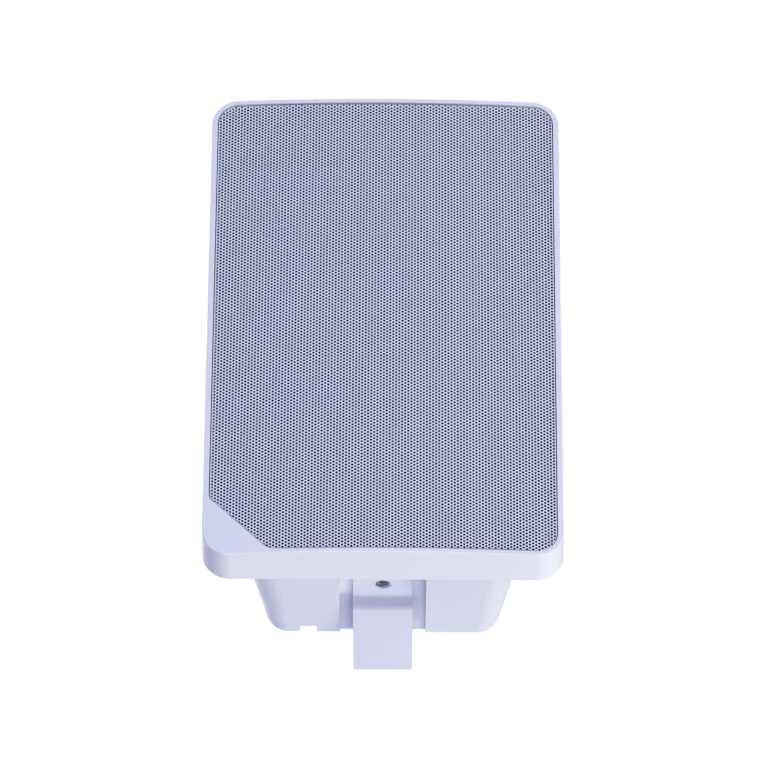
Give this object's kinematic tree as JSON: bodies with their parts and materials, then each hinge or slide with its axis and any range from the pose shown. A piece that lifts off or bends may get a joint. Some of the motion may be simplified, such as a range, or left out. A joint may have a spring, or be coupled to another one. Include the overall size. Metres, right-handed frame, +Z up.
{
  "type": "public address speaker",
  "caption": "Wall-mounted public address speaker: a crowned perforated grille in a moulded frame, a tapered cabinet with its drivers, and a bent steel strap on which it pans.",
  "frame": {"origin": "centre of the strap's wall face, midway between its two wall holes", "axes": "+X right as seen from the front, +Y into the wall, +Z up; the front looks along -Y"},
  "size_m": [0.2016, 0.1668, 0.3016],
  "materials": {
    "white_abs": "fine moulded texture, satin",
    "grille_paint": "powder coat, satin",
    "strap_paint": "powder coat, satin",
    "black_cloth": "woven, matt",
    "spider_cloth": "resin-stiffened weave",
    "zinc_steel": "bright zinc plate",
    "black_steel": "black paint on pressed steel",
    "plain_steel": "dull steel sheet",
    "cone_paper": "coated black paper",
    "black_rubber": "matt",
    "foam": "closed-cell foam",
    "ferrite": "ground ferrite",
    "copper_wire": "enamelled copper wire",
    "black_plastic": "moulded, matt",
    "circuit_board": "lacquered laminate"
  },
  "bodies": {
    "bracket": {"wall_bracket": "strap_paint"},
    "cabinet": {"front_frame": "white_abs", "shell_flange": "white_abs", "rear_shell": "white_abs", "rear_rim": "white_abs", "rear_panel": "white_abs", "front_grille": "grille_paint", "grille_cloth": "black_cloth", "tweeter_dome": "black_cloth", "woofer_spider": "spider_cloth", "pivot_bush_bottom": "zinc_steel", "pivot_bush_top": "zinc_steel", "case_screws": "zinc_steel", "woofer_screws": "zinc_steel", "tweeter_screws": "zinc_steel", "transformer_screws": "zinc_steel", "crossover_screws": "zinc_steel", "terminal_screws": "zinc_steel", "woofer_top_plate": "zinc_steel", "woofer_yoke": "zinc_steel", "tweeter_yoke": "zinc_steel", "woofer_basket": "black_steel", "transformer_core": "plain_steel", "transformer_clamp": "plain_steel", "woofer_surround": "black_rubber", "seal_gasket": "foam", "woofer_gasket": "foam", "woofer_magnet": "ferrite", "tweeter_magnet": "ferrite", "transformer_winding": "copper_wire", "crossover_coil": "copper_wire", "tweeter_faceplate": "black_plastic", "terminal_block": "black_plastic", "crossover_capacitor": "black_plastic", "crossover_board": "circuit_board"},
    "cone": {"woofer_cone": "cone_paper", "woofer_dust_cap": "cone_paper", "woofer_voice_coil": "copper_wire"}
  },
  "joints": [
    {"name": "cabinet_pan", "type": "hinge", "parent": "bracket", "child": "cabinet", "pos_m": [0, -0.0903, 0], "axis": [0, 0, 1], "range_deg": [-30, 30]},
    {"name": "cone_travel", "type": "slide", "parent": "cabinet", "child": "cone", "axis": [0, -1, 0], "range_m": [-0.003, 0.003], "stiffness_N_per_m": 1500, "deforming": ["woofer_surround", "woofer_spider"]}
  ]
}
